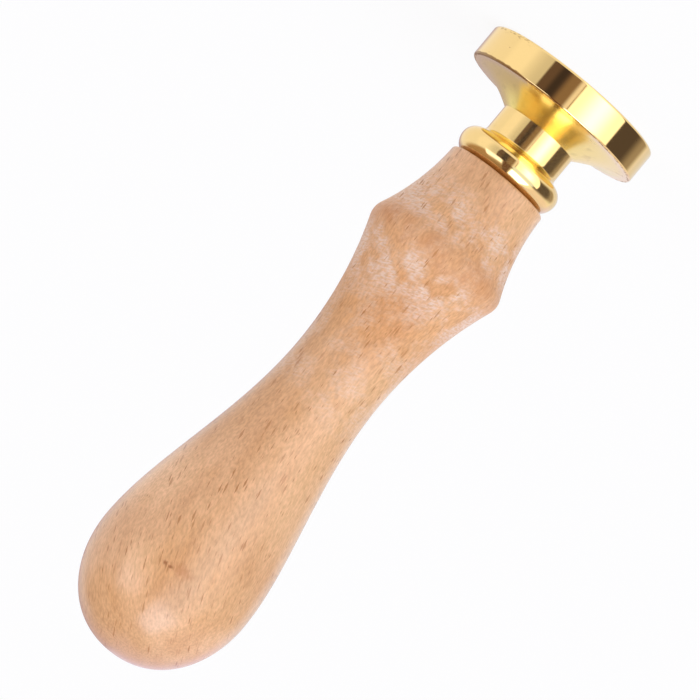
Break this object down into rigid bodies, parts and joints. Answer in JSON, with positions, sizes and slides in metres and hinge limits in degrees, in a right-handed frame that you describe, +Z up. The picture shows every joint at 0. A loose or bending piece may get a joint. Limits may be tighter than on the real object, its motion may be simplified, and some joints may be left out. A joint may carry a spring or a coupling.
{
  "type": "wax seal stamp",
  "caption": "Hand stamp for sealing wax: a brass seal head with an engraved die face screws onto a hanger bolt in the end of a turned wooden handle.",
  "frame": {"origin": "centre of the die face, which the stamp stands on", "axes": "+Z up the common axis of head and handle, from the die face to the butt; X and Y in the die face, +X through a petal's tip"},
  "size_m": [0.025, 0.025, 0.0903],
  "materials": {
    "beech": "pale turned beech, satin",
    "plated_steel": "zinc-plated steel",
    "polished_brass": "polished brass"
  },
  "bodies": {
    "head": {"seal_head": "polished_brass"},
    "bolt": {"hanger_bolt": "plated_steel"},
    "grip": {"handle": "beech"}
  },
  "joints": [
    {"name": "thread_advance", "type": "slide", "parent": "head", "child": "bolt", "axis": [0, 0, 1], "range_m": [0, 0.008]},
    {"name": "handle_unscrew", "type": "hinge", "parent": "bolt", "child": "grip", "pos_m": [0, 0, 0], "axis": [0, 0, 1], "range_deg": [0, 2880]}
  ],
  "couplings": [
    {"joint": "handle_unscrew", "follows": "thread_advance", "rad_per_m": 6283.2}
  ]
}
